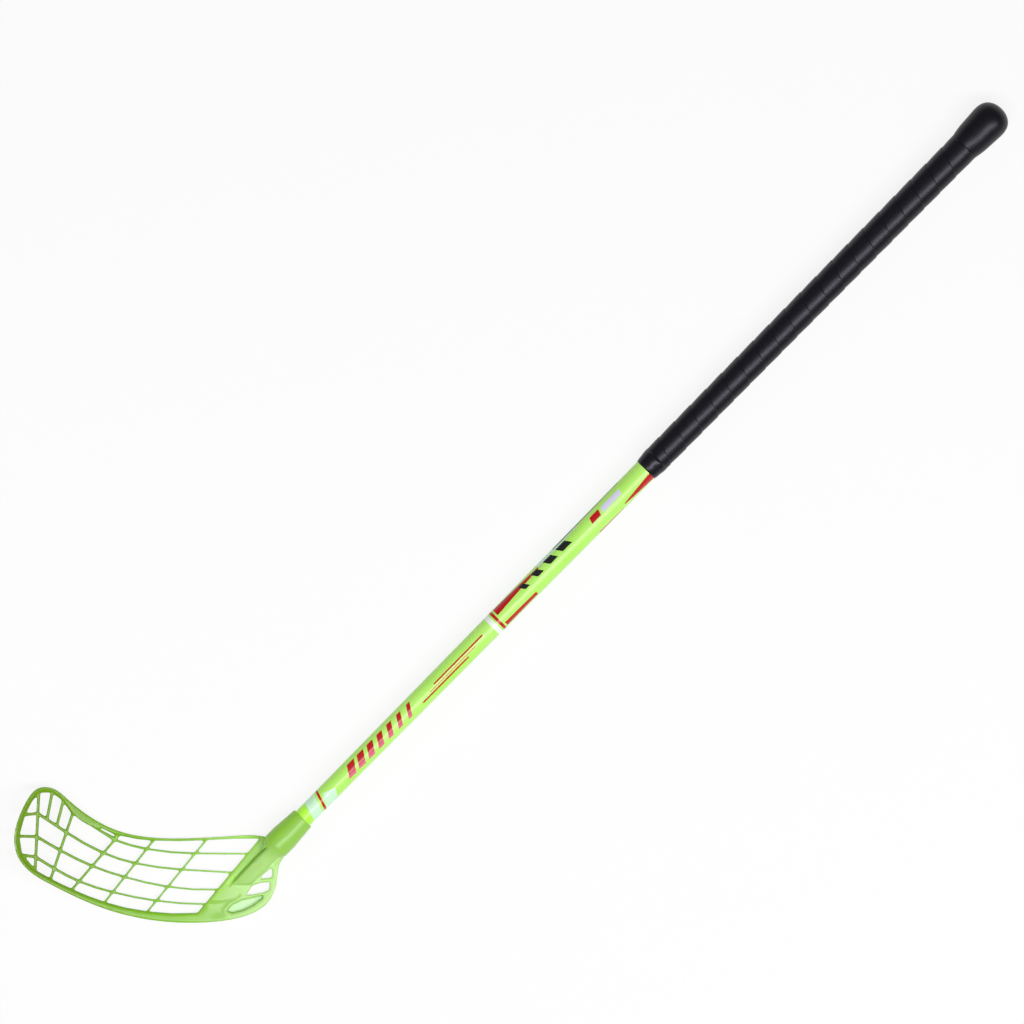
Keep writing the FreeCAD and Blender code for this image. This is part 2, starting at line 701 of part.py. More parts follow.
def make_blade():
    """One moulding: mesh, socket and spine, less the socket's bore, the screw holes and the groove."""
    whole = doc.addObject("Part::MultiFuse", "blade_moulding")
    whole.Shapes = [make_mesh(), make_hosel(), make_spine()]
    bore = doc.addObject("Part::Cylinder", "blade_bore")
    bore.setExpression("Radius", f"{S}shaft_tip_diameter / 2 + {S}socket_clearance")
    bore.setExpression("Height", f"{S}socket_depth + {S}overrun")
    bore.Placement = FreeCAD.Placement(V(0, 0, 0), FreeCAD.Rotation(V(0, 1, 0), 90))
    bore.setExpression("Placement.Base.x", f"{TUBE_START} - {ORIGIN_AT}")
    groove = doc.addObject("Part::Box", "blade_groove")
    groove.setExpression("Length", f"{S}groove_length")
    groove.setExpression("Width", f"{S}groove_width")
    groove.setExpression("Height", f"{S}hosel_diameter")
    groove.setExpression("Placement.Base.x", f"-{S}groove_start - {S}groove_length - {ORIGIN_AT}")
    groove.setExpression("Placement.Base.y", f"{S}spine_toe_side")
    groove.setExpression("Placement.Base.z", f"{S}frame_depth - {AXIS_HEIGHT} - {S}groove_depth")
    tools = [bore, groove]
    for number in range(len(SCREW_NAMES)):
        tools += screw_tools(number)
    cutters = doc.addObject("Part::MultiFuse", "blade_cutters")
    cutters.Shapes = tools
    blade = doc.addObject("Part::Cut", "blade")
    blade.Base = whole
    blade.Tool = cutters
    doc.recompute()
    return blade


parts = {
    "shaft_tube": make_shaft(),
    "end_plug": make_plug(),
    "butt_cap": make_cap(),
    "grip_tape": make_grip(),
    "finishing_tape": make_band(),
    "blade": make_blade(),
}
for number, name in enumerate(SCREW_NAMES):
    parts[name] = make_screw(number)
doc.recompute()

for obj in doc.Objects:
    if "Invalid" in obj.State or "Error" in obj.State:
        raise RuntimeError(f"{obj.Name} failed: {obj.State}")
for name, obj in parts.items():
    obj.Label = name
    if obj.Shape.isNull() or not obj.Shape.isValid() or len(obj.Shape.Solids) != 1:
        raise RuntimeError(f"{name} is not one valid solid")
os.makedirs("parts", exist_ok=True)
for obj in parts.values():
    obj.Shape.exportStep(f"parts/{obj.Label}.step")
    box = obj.Shape.BoundBox
    print(f"{obj.Label}: {obj.Shape.Volume:.0f} mm3, {box.XLength:.1f} x {box.YLength:.1f} x {box.ZLength:.1f} mm")
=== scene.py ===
"""A floorball stick laid on a pale floor and seen from straight above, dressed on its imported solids."""
import math

import bmesh
import bpy
from mathutils import Matrix, Vector, noise
from mathutils.bvhtree import BVHTree


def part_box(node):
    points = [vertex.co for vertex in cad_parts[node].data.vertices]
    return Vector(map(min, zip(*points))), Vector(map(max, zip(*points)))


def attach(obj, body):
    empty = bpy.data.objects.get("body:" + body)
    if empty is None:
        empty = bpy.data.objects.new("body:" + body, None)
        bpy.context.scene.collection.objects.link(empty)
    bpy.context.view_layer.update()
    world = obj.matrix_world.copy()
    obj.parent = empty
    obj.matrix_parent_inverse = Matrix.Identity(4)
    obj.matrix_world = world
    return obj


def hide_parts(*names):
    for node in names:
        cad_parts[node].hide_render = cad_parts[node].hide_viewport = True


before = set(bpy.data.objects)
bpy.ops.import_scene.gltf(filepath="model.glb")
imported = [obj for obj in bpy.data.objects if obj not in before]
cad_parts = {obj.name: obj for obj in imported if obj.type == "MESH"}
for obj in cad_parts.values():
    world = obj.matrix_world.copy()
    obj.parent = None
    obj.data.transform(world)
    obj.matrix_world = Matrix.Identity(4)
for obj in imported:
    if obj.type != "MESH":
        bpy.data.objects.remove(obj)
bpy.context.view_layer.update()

MM = 0.001
tube_low, tube_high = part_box("shaft_tube")
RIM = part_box("blade")[1].x       # rim of the blade's socket on the shaft's axis
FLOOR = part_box("butt_cap")[0].z  # the butt cap and the blade's back lie on it
FLOOR_GAP = 0.15 * MM            # keeps the floor's sheet clear of both

# Tube: radius at the rim and at the butt, with a straight taper between them
TIP_RADIUS = 9.45 * MM
BUTT_RADIUS = tube_high.z
BUTT = tube_high.x
SOCKET_BORE = 9.5 * MM
SOCKET_DEPTH = RIM - tube_low.x
HOSEL_RADIUS = 13.5 * MM
HOSEL_END = 53.0 * MM            # from the rim to the tip of the socket's cone

# Blade, measured along and square to the line that it lies on in the picture
LIE = math.radians(45.45)  # between that line and the shaft
BLADE_LENGTH = 253.7 * MM
BLADE_HEIGHT = 130.8 * MM
TOE_TO_RIM = 276.5 * MM    # along the blade, from the toe's edge to the socket's rim
SOLE_TO_RIM = 101.0 * MM   # square to it, from the lowest edge of the sole to the rim
ALONG_BLADE = Vector((math.cos(LIE), -math.sin(LIE)))  # in the plan, from the toe to the heel
UP_BLADE = Vector((math.sin(LIE), math.cos(LIE)))      # in the plan, up from the sole

# Corners of the narrow slot under the top rim, in shares of the blade's length and height
SLOT_SHARES = [
    (0.299, 0.724), (0.306, 0.716), (0.337, 0.688), (0.367, 0.658), (0.379, 0.645),
    (0.375, 0.634), (0.367, 0.640), (0.337, 0.671), (0.306, 0.708), (0.299, 0.721),
]
# The upper edge of the web's step, in the same shares
STEP_SHARES = [(0.732, 0.156), (0.747, 0.153), (0.776, 0.154), (0.810, 0.162), (0.836, 0.183), (0.850, 0.207)]

# Grip tape, wound on the tube
TAPE_PITCH = 21.6 * MM
TAPE_OVERLAP = 1.4 * MM
SPUN_RADIUS = 10.0 * MM    # tape and band are wound on a plain bar of this radius, then laid on the taper

DOUBLES = 0.005 * MM       # points closer than this are one point


def tube_radius(x):
    """Outer radius of the tube at a place on its axis."""
    return TIP_RADIUS + (BUTT_RADIUS - TIP_RADIUS) * (x - RIM) / (BUTT - RIM)


# Camera

PHOTO_WIDTH = 983.0 * MM   # how much of the floor the square picture spans
LENS = 500.0
SENSOR = 36.0
MIDDLE = Vector((-338.8 * MM, 63.2 * MM, 0.0))   # under the middle of the picture

lens = bpy.data.cameras.new("camera")
lens.lens = LENS
lens.sensor_width = SENSOR
lens.clip_end = 50.0
camera = bpy.data.objects.new("camera", lens)
camera.location = MIDDLE + Vector((0.0, 0.0, PHOTO_WIDTH * LENS / SENSOR))
camera.rotation_euler = (0.0, 0.0, -LIE)
bpy.context.scene.collection.objects.link(camera)
bpy.context.scene.camera = camera
bpy.context.scene.view_settings.view_transform = "Standard"


# Materials

def linear(code):
    """An sRGB hex colour as linear light."""
    parts = [int(code[i:i + 2], 16) / 255 for i in (1, 3, 5)]
    return [c / 12.92 if c <= 0.04045 else ((c + 0.055) / 1.055) ** 2.4 for c in parts] + [1.0]


def node(tree, kind, sockets, **settings):
    """Adds a node with its settings, and gives each named socket a value or a link."""
    made = tree.nodes.new(kind)
    for name, value in settings.items():
        setattr(made, name, value)
    for name, value in sockets.items():
        if isinstance(value, bpy.types.NodeSocket):
            tree.links.new(value, made.inputs[name])
        else:
            made.inputs[name].default_value = value
    return made


def new_material(name):
    """An empty material: its tree, its shader and its Object coordinates."""
    material = bpy.data.materials.new(name)
    material.use_nodes = True
    tree = material.node_tree
    shader = tree.nodes["Principled BSDF"]
    place = node(tree, "ShaderNodeTexCoord", {}).outputs["Object"]
    return material, tree, shader, place


def per_mm(size):
    """Texture scale at which one feature of a noise is about this many millimetres wide."""
    return 1.0 / (size * MM)


def shaft_lacquer():
    """Gloss two-pack lacquer over a wound fibre tube.

    The lacquer gives a bright lime with a wet line of light along it; the printed bars, rings and wedges lie
    under the gloss, so they share it, and so do a line of painted shade along one edge and the painted shade
    under the grip. The winding shows only as a faint ripple in the shine.
    """
    material, tree, shader, place = new_material("gloss_lacquer_on_fibre_tube")
    axes = node(tree, "ShaderNodeSeparateXYZ", {"Vector": place})
    # Along: millimetres from the rim. Round: degrees from the top of the tube, towards the toe's side.
    along = node(tree, "ShaderNodeMath", {
        0: axes.outputs["X"], 1: 1.0 / MM, 2: -RIM / MM,
    }, operation="MULTIPLY_ADD")
    turn = node(tree, "ShaderNodeMath", {0: axes.outputs["Y"], 1: axes.outputs["Z"]}, operation="ARCTAN2")
    round_ = node(tree, "ShaderNodeMath", {0: turn.outputs[0]}, operation="DEGREES")
    # A slanted print is a slanting cut through the tube, so it closes at the back
    side = node(tree, "ShaderNodeMath", {0: turn.outputs[0]}, operation="SINE")

    # The lacquer's depth varies slowly, over about 60 mm
    cloud = node(tree, "ShaderNodeTexNoise", {"Vector": place, "Scale": per_mm(60.0), "Detail": 2.0})
    ground = node(tree, "ShaderNodeMix", {
        "Factor": cloud.outputs["Fac"], "A": linear("#AEEF58"), "B": linear("#C4FB7E"),
    }, data_type="RGBA")
    colour = ground.outputs["Result"]

    lime, mint, white = "#B6FF45", "#CDF9D2", "#F2FBF4"
    red, pink, dark = "#C00010", "#E8698C", "#17181A"
    lilac, amber, edge_shade_olive = "#D9D8F0", "#C98A16", "#46521A"
    whole = 200.0  # wider than half a turn, so the patch goes all the way round
    # Start and end from the rim in mm, middle in degrees, half widths in degrees at the start and the end,
    # how far the patch leans in mm from the top of the tube to its side, and its colour
    print_patches = [
        (-2.0, 9.0, 0.0, whole, whole, 0.0, lime),
        (9.0, 21.0, 0.0, whole, whole, 3.0, mint),
        (23.5, 26.0, 0.0, whole, whole, 3.0, red),
        (28.5, 44.0, -40.0, 60.0, 30.0, 6.0, mint),
        (160.0, 222.0, -26.0, 4.5, 4.5, 0.0, red),
        (172.0, 234.0, -11.0, 3.6, 3.6, 0.0, amber),
        (180.0, 246.0, 4.0, 4.5, 4.5, 0.0, red),
        (258.0, 263.0, 0.0, whole, whole, 0.0, white),
        (265.0, 268.0, 0.0, whole, whole, 0.0, red),
        (270.0, 338.0, 46.0, 27.0, 2.0, 0.0, red),
        (270.0, 312.0, -52.0, 16.0, 12.0, 0.0, red),
        (330.0, 384.0, 62.0, 18.0, 6.0, 0.0, mint),
        # Painted shade: a dark line down the tube's edge on the toe's side, away from the key light
        (352.0, 442.0, 74.0, 11.0, 5.0, 0.0, edge_shade_olive),
        (396.0, 428.0, -74.0, 9.0, 4.0, 0.0, red),
        (396.0, 408.0, 18.0, 17.0, 17.0, 3.5, red),
        (411.0, 436.0, 18.0, 15.0, 15.0, 3.5, lilac),
        (432.0, 472.0, -48.0, 4.0, 26.0, 0.0, red),
        (474.0, 960.0, 0.0, whole, whole, 0.0, dark),  # painted dark under the grip: painted shade where gaps between the tape and the cap show the tube
    ]
    # A row of leaning bars, red with a pink foot, each shorter than the one before
    for bar in range(7):
        start, length = 62.0 + 13.5 * bar, 9.5 - 0.8 * bar
        print_patches.append((start, start + length, 9.0, 27.0, 27.0, 6.4, red))
        print_patches.append((start, start + length, -26.0, 9.0, 9.0, 6.4, pink))
    # Four dark slashes that grow towards the butt
    for slash in range(4):
        start, length = 308.0 + 17.0 * slash, 6.0 + 2.2 * slash
        print_patches.append((start, start + length, 30.0, 20.0, 20.0, -7.5, dark))
    for start, end, middle, first, last, lean, code in print_patches:
        leaned = node(tree, "ShaderNodeMath", {0: side.outputs[0], 1: -lean, 2: along.outputs[0]},
                      operation="MULTIPLY_ADD")
        within = node(tree, "ShaderNodeMath", {
            0: leaned.outputs[0], 1: (start + end) / 2, 2: (end - start) / 2,
        }, operation="COMPARE")
        half = node(tree, "ShaderNodeMapRange", {
            "Value": leaned.outputs[0], "From Min": start, "From Max": end, "To Min": first, "To Max": last,
        })
        beside = node(tree, "ShaderNodeMath", {0: round_.outputs[0], 1: middle, 2: half.outputs["Result"]},
                      operation="COMPARE")
        patch = node(tree, "ShaderNodeMath", {
            0: within.outputs[0], 1: beside.outputs[0],
        }, operation="MULTIPLY")
        colour = node(tree, "ShaderNodeMix", {"Factor": patch.outputs[0], "A": colour, "B": linear(code)},
                      data_type="RGBA").outputs["Result"]

    # The fibres lie at a slant, about 50 mm between turns. At a scale of 1, diagonal bands repeat every tenth
    # part of 2 pi.
    turn_pitch = 50.265 * MM
    winding = node(tree, "ShaderNodeTexWave", {
        "Vector": place, "Scale": 2 * math.pi / (10 * turn_pitch), "Distortion": 1.5, "Detail": 1.0,
    }, bands_direction="DIAGONAL")
    # Scuffs from handling, about 7 mm long, dull the shine a little
    scuff = node(tree, "ShaderNodeTexNoise", {"Vector": place, "Scale": per_mm(7.0), "Detail": 6.0})
    shine = node(tree, "ShaderNodeMapRange", {"Value": scuff.outputs["Fac"], "To Min": 0.28, "To Max": 0.42})
    ripple = node(tree, "ShaderNodeBump", {
        "Height": winding.outputs["Fac"], "Strength": 0.03, "Distance": 0.1 * MM,
    })
    tree.links.new(colour, shader.inputs["Base Color"])
    tree.links.new(shine.outputs["Result"], shader.inputs["Roughness"])
    tree.links.new(ripple.outputs["Normal"], shader.inputs["Normal"])
    shader.inputs["IOR"].default_value = 1.5
    shader.inputs["Coat Weight"].default_value = 0.15
    shader.inputs["Coat Roughness"].default_value = 0.16
    return material


def blade_plastic():
    """Injection-moulded polypropylene, tinted green.

    A little light passes through it; thin walls are painted light for it and thick ones stay deep. The colour
    is deepest at the toe and grows lighter round the heel, partly as painted light on the web, and the skin
    is satin with a fine grain from the mould.
    """
    material, tree, shader, place = new_material("moulded_green_polypropylene")
    wall = node(tree, "ShaderNodeAttribute", {}, attribute_name="wall")
    # How far along the blade, from the toe to the heel, with a slow drift of the colour across it
    length = node(tree, "ShaderNodeVectorMath", {0: place, 1: ALONG_BLADE.to_3d()}, operation="DOT_PRODUCT")
    flow = node(tree, "ShaderNodeTexNoise", {"Vector": place, "Scale": per_mm(35.0), "Detail": 3.0})
    drift = node(tree, "ShaderNodeMath", {0: flow.outputs["Fac"], 1: 40 * MM, 2: length.outputs["Value"]},
                 operation="MULTIPLY_ADD")
    # Places on that scale, which starts under the frame's origin: the toe is at its lower end
    deep_end, body_start, body_end, painted_light_full = -725 * MM, -595 * MM, -580 * MM, -520 * MM
    deep = node(tree, "ShaderNodeMapRange", {
        "Value": drift.outputs[0], "From Min": deep_end, "From Max": body_start,
    })
    body = node(tree, "ShaderNodeMix", {
        "Factor": deep.outputs["Result"], "A": linear("#749F0E"), "B": linear("#86C226"),
    }, data_type="RGBA")
    # Painted light: lighter towards the heel, for the light that the up-facing web catches
    painted_light_ramp = node(tree, "ShaderNodeMapRange", {
        "Value": drift.outputs[0], "From Min": body_end, "From Max": painted_light_full,
    })
    # The socket keeps most of its deep colour and gets little of the painted light
    axes = node(tree, "ShaderNodeSeparateXYZ", {"Vector": place})
    below = node(tree, "ShaderNodeMapRange", {
        "Value": axes.outputs["X"], "From Min": RIM - HOSEL_END, "From Max": RIM - SOCKET_DEPTH,
        "To Min": 1.0, "To Max": 0.32,
    })
    painted_light_share = node(tree, "ShaderNodeMath", {
        0: painted_light_ramp.outputs["Result"], 1: below.outputs["Result"],
    }, operation="MULTIPLY")
    # Painted light: the strip of the web beside the spine is painted a brighter lime, which lifts the spine's
    # shade on it
    strip = node(tree, "ShaderNodeMapRange", {
        "Value": axes.outputs["Y"], "From Min": 2 * MM, "From Max": 5 * MM,
    })
    pale = node(tree, "ShaderNodeMix", {
        "Factor": strip.outputs["Result"], "A": linear("#B4E182"), "B": linear("#ADE462"),
    }, data_type="RGBA")
    tint_and_painted_light = node(tree, "ShaderNodeMix", {
        "Factor": painted_light_share.outputs[0], "A": body.outputs["Result"], "B": pale.outputs["Result"],
    }, data_type="RGBA")
    # Painted light: walls of 1.5 mm are painted lighter for the ground's light shining through them, walls of
    # 3 mm hardly at all
    thin = node(tree, "ShaderNodeMapRange", {
        "Value": wall.outputs["Fac"], "From Min": 1.5, "From Max": 3.0, "To Min": 0.9, "To Max": 0.0,
    })
    colour = node(tree, "ShaderNodeMix", {
        "Factor": thin.outputs["Result"], "A": tint_and_painted_light.outputs["Result"], "B": linear("#D0ECC8"),
    }, data_type="RGBA")
    # The mould's grain is finer than this; it is drawn about 0.9 mm wide so that it shows
    grain = node(tree, "ShaderNodeTexNoise", {"Vector": place, "Scale": per_mm(0.9), "Detail": 3.0})
    skin = node(tree, "ShaderNodeMapRange", {"Value": grain.outputs["Fac"], "To Min": 0.26, "To Max": 0.42})
    bump = node(tree, "ShaderNodeBump", {
        "Height": grain.outputs["Fac"], "Strength": 0.12, "Distance": 0.15 * MM,
    })
    tree.links.new(colour.outputs["Result"], shader.inputs["Base Color"])
    tree.links.new(skin.outputs["Result"], shader.inputs["Roughness"])
    tree.links.new(bump.outputs["Normal"], shader.inputs["Normal"])
    shader.inputs["IOR"].default_value = 1.49
    shader.inputs["Subsurface Weight"].default_value = 0.25
    shader.inputs["Subsurface Radius"].default_value = (0.6, 1.0, 0.25)
    shader.inputs["Subsurface Scale"].default_value = 2.5 * MM
    return material


def grip_foam():
    """Foamed polyurethane grip tape with a calendered skin.

    Near black and soft, with a broad dull sheen that breaks at each turn; fine creases and pores roughen the
    light.
    """
    material, tree, shader, place = new_material("polyurethane_grip_foam")
    # The foam's pores are finer than this; they are drawn 1.1 mm apart so that they show
    pores = node(tree, "ShaderNodeTexVoronoi", {"Vector": place, "Scale": per_mm(1.1)})
    creases = node(tree, "ShaderNodeTexNoise", {"Vector": place, "Scale": per_mm(3.0), "Detail": 5.0})
    colour = node(tree, "ShaderNodeMix", {
        "Factor": creases.outputs["Fac"], "A": linear("#09080D"), "B": linear("#13121A"),
    }, data_type="RGBA")
    dull = node(tree, "ShaderNodeMapRange", {"Value": creases.outputs["Fac"], "To Min": 0.30, "To Max": 0.42})
    height = node(tree, "ShaderNodeMath", {0: pores.outputs["Distance"], 1: 0.4, 2: creases.outputs["Fac"]},
                  operation="MULTIPLY_ADD")
    bump = node(tree, "ShaderNodeBump", {"Height": height.outputs[0], "Strength": 0.25, "Distance": 0.2 * MM})
    tree.links.new(colour.outputs["Result"], shader.inputs["Base Color"])
    tree.links.new(dull.outputs["Result"], shader.inputs["Roughness"])
    tree.links.new(bump.outputs["Normal"], shader.inputs["Normal"])
    shader.inputs["IOR"].default_value = 1.38
    shader.inputs["Specular Tint"].default_value = linear("#F2F0FF")
    return material


def vinyl_tape():
    """Soft vinyl tape, stretched round the tube: smoother and glossier than the grip, with pull creases."""
    material, tree, shader, place = new_material("stretched_vinyl_tape")
    # The creases run round the tube, drawn 1.2 mm apart, wider than real ones, so that they show
    stretched = node(tree, "ShaderNodeMapping", {"Vector": place, "Scale": (1.0, 0.15, 0.15)})
    pulls = node(tree, "ShaderNodeTexNoise", {
        "Vector": stretched.outputs["Vector"], "Scale": per_mm(1.2), "Detail": 3.0,
    })
    colour = node(tree, "ShaderNodeMix", {
        "Factor": pulls.outputs["Fac"], "A": linear("#09080C"), "B": linear("#131218"),
    }, data_type="RGBA")
    shine = node(tree, "ShaderNodeMapRange", {"Value": pulls.outputs["Fac"], "To Min": 0.27, "To Max": 0.36})
    bump = node(tree, "ShaderNodeBump", {
        "Height": pulls.outputs["Fac"], "Strength": 0.05, "Distance": 0.1 * MM,
    })
    tree.links.new(colour.outputs["Result"], shader.inputs["Base Color"])
    tree.links.new(shine.outputs["Result"], shader.inputs["Roughness"])
    tree.links.new(bump.outputs["Normal"], shader.inputs["Normal"])
    shader.inputs["IOR"].default_value = 1.4
    shader.inputs["Specular Tint"].default_value = linear("#F2F0FF")
    return material


def cap_rubber():
    """Compression-moulded rubber.

    Black with a slight bloom in patches, a fine spark-eroded grain and a soft light on the dome.
    """
    material, tree, shader, place = new_material("moulded_black_rubber")
    # The grain is finer than this; it is drawn about 0.8 mm wide so that it shows
    grain = node(tree, "ShaderNodeTexNoise", {"Vector": place, "Scale": per_mm(0.8), "Detail": 4.0})
    bloom = node(tree, "ShaderNodeTexNoise", {"Vector": place, "Scale": per_mm(14.0), "Detail": 3.0})
    colour = node(tree, "ShaderNodeMix", {
        "Factor": bloom.outputs["Fac"], "A": linear("#08080C"), "B": linear("#111017"),
    }, data_type="RGBA")
    dull = node(tree, "ShaderNodeMapRange", {"Value": bloom.outputs["Fac"], "To Min": 0.32, "To Max": 0.42})
    bump = node(tree, "ShaderNodeBump", {
        "Height": grain.outputs["Fac"], "Strength": 0.2, "Distance": 0.12 * MM,
    })
    tree.links.new(colour.outputs["Result"], shader.inputs["Base Color"])
    tree.links.new(dull.outputs["Result"], shader.inputs["Roughness"])
    tree.links.new(bump.outputs["Normal"], shader.inputs["Normal"])
    shader.inputs["IOR"].default_value = 1.38
    shader.inputs["Specular Tint"].default_value = linear("#F2F0FF")
    return material


def screw_steel():
    """Zinc-plated steel: cool grey, its plating in faint patches, with a blur in the reflections."""
    material, tree, shader, place = new_material("zinc_plated_steel")
    spangle = node(tree, "ShaderNodeTexNoise", {"Vector": place, "Scale": per_mm(1.5), "Detail": 4.0})
    colour = node(tree, "ShaderNodeMix", {
        "Factor": spangle.outputs["Fac"], "A": linear("#A9ABAF"), "B": linear("#C9CBCE"),
    }, data_type="RGBA")
    blur = node(tree, "ShaderNodeMapRange", {"Value": spangle.outputs["Fac"], "To Min": 0.26, "To Max": 0.42})
    tree.links.new(colour.outputs["Result"], shader.inputs["Base Color"])
    tree.links.new(blur.outputs["Result"], shader.inputs["Roughness"])
    shader.inputs["Metallic"].default_value = 1.0
    return material


def plug_plastic():
    """Moulded polyethylene plug: dark grey and waxy, with a faint flow pattern."""
    material, tree, shader, place = new_material("moulded_grey_polyethylene")
    flow = node(tree, "ShaderNodeTexNoise", {"Vector": place, "Scale": per_mm(6.0), "Detail": 3.0})
    colour = node(tree, "ShaderNodeMix", {
        "Factor": flow.outputs["Fac"], "A": linear("#2A2A2C"), "B": linear("#3B3B3E"),
    }, data_type="RGBA")
    wax = node(tree, "ShaderNodeMapRange", {"Value": flow.outputs["Fac"], "To Min": 0.45, "To Max": 0.6})
    tree.links.new(colour.outputs["Result"], shader.inputs["Base Color"])
    tree.links.new(wax.outputs["Result"], shader.inputs["Roughness"])
    shader.inputs["IOR"].default_value = 1.51
    return material


def floor_paper():
    """Matt white studio paper.

    It has the faintest tooth, and a glow of its own that keeps the shadows on it faint.
    """
    material, tree, shader, place = new_material("matt_white_paper")
    # The paper's tooth is far finer than this; it is drawn about 30 mm wide so that it shows
    tooth = node(tree, "ShaderNodeTexNoise", {"Vector": place, "Scale": per_mm(30.0), "Detail": 3.0})
    colour = node(tree, "ShaderNodeMix", {
        "Factor": tooth.outputs["Fac"], "A": linear("#F8F7F8"), "B": linear("#FBFAFB"),
    }, data_type="RGBA")
    tree.links.new(colour.outputs["Result"], shader.inputs["Base Color"])
    shader.inputs["Roughness"].default_value = 0.9
    shader.inputs["Specular IOR Level"].default_value = 0.1
    rays = node(tree, "ShaderNodeLightPath", {})
    mirrored = node(tree, "ShaderNodeMath", {
        0: rays.outputs["Is Glossy Ray"], 1: rays.outputs["Is Transmission Ray"],
    }, operation="MAXIMUM")
    seen = node(tree, "ShaderNodeMath", {
        0: rays.outputs["Is Camera Ray"], 1: mirrored.outputs[0],
    }, operation="MAXIMUM")
    glow_share = 0.86
    share = node(tree, "ShaderNodeMath", {0: seen.outputs[0], 1: glow_share}, operation="MULTIPLY")
    glow = node(tree, "ShaderNodeEmission", {"Color": linear("#FEFEFE"), "Strength": 1.0})
    both = node(tree, "ShaderNodeMixShader", {0: share.outputs[0], 1: shader.outputs[0], 2: glow.outputs[0]})
    tree.links.new(both.outputs[0], tree.nodes["Material Output"].inputs["Surface"])
    return material


# Pieces

def finish_piece(name, mesh, material, stands_for):
    """Makes the piece's object, smooth and in place on the root body, and hides the node that it stands for.
    """
    mesh.shade_smooth()
    mesh.materials.clear()
    mesh.materials.append(material)
    piece = bpy.data.objects.new(name, mesh)
    bpy.context.scene.collection.objects.link(piece)
    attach(piece, "root")
    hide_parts(stands_for)
    return piece


def mesh_of(bm, name):
    """The bmesh as a new mesh, its faces turned outwards."""
    bmesh.ops.recalc_face_normals(bm, faces=bm.faces)
    mesh = bpy.data.meshes.new(name)
    bm.to_mesh(mesh)
    bm.free()
    return mesh


def applied(mesh, kind, **settings):
    """A mesh with one modifier applied to it."""
    carrier = bpy.data.objects.new("carrier", mesh)
    bpy.context.scene.collection.objects.link(carrier)
    modifier = carrier.modifiers.new(kind.lower(), kind)
    for name, value in settings.items():
        setattr(modifier, name, value)
    graph = bpy.context.evaluated_depsgraph_get()
    result = bpy.data.meshes.new_from_object(carrier.evaluated_get(graph))
    bpy.data.objects.remove(carrier)
    return result


def section_loop(bm, points):
    """A closed section of a turned or wound form, from places along the axis and distances from it."""
    corners = [bm.verts.new((x, 0.0, r)) for x, r in points]
    return corners + [bm.edges.new((a, b)) for a, b in zip(corners, corners[1:] + corners[:1])]


def less(mesh, taken):
    """A mesh with the form of another taken out of it."""
    punch = bpy.data.objects.new("punch", taken)
    bpy.context.scene.collection.objects.link(punch)
    bpy.context.view_layer.update()
    result = applied(mesh, "BOOLEAN", object=punch, operation="DIFFERENCE", solver="EXACT", use_self=True)
    bpy.data.objects.remove(punch)
    return result


def on_blade(along_share, up_share):
    """A place in the blade's plan, from shares of its length from the toe and its height from the sole."""
    corner = Vector((RIM, 0.0)) - ALONG_BLADE * TOE_TO_RIM - UP_BLADE * SOLE_TO_RIM
    return corner + ALONG_BLADE * along_share * BLADE_LENGTH + UP_BLADE * up_share * BLADE_HEIGHT


def in_run_out(co):
    """Whether a point of the front face lies by the toe end or the lower edge of the web's step."""
    offset = co.xy - on_blade(0.0, 0.0)
    along_share = offset.dot(ALONG_BLADE) / BLADE_LENGTH
    up_share = offset.dot(UP_BLADE) / BLADE_HEIGHT
    at_toe_end = 0.70 < along_share < 0.775 and 0.03 < up_share < 0.142
    at_lower_edge = 0.70 < along_share < 0.80 and 0.03 < up_share < 0.075
    front = FLOOR + 5 * MM
    return co.z > front and (at_toe_end or at_lower_edge)


def from_line(point, line):
    """How far a point of the plan is from a line of straight stretches."""
    gaps = []
    for a, b in zip(line, line[1:]):
        share = max(0.0, min(1.0, (point - a).dot(b - a) / (b - a).length_squared))
        gaps.append((point - a - (b - a) * share).length)
    return min(gaps)


def smoothed(bm, verts, rounds, plan=True):
    """Softens some points of a mesh a number of times over, in all directions or only in height."""
    for _ in range(rounds):
        bmesh.ops.smooth_vert(
            bm, verts=verts, factor=0.5, use_axis_x=plan, use_axis_y=plan, use_axis_z=True,
        )


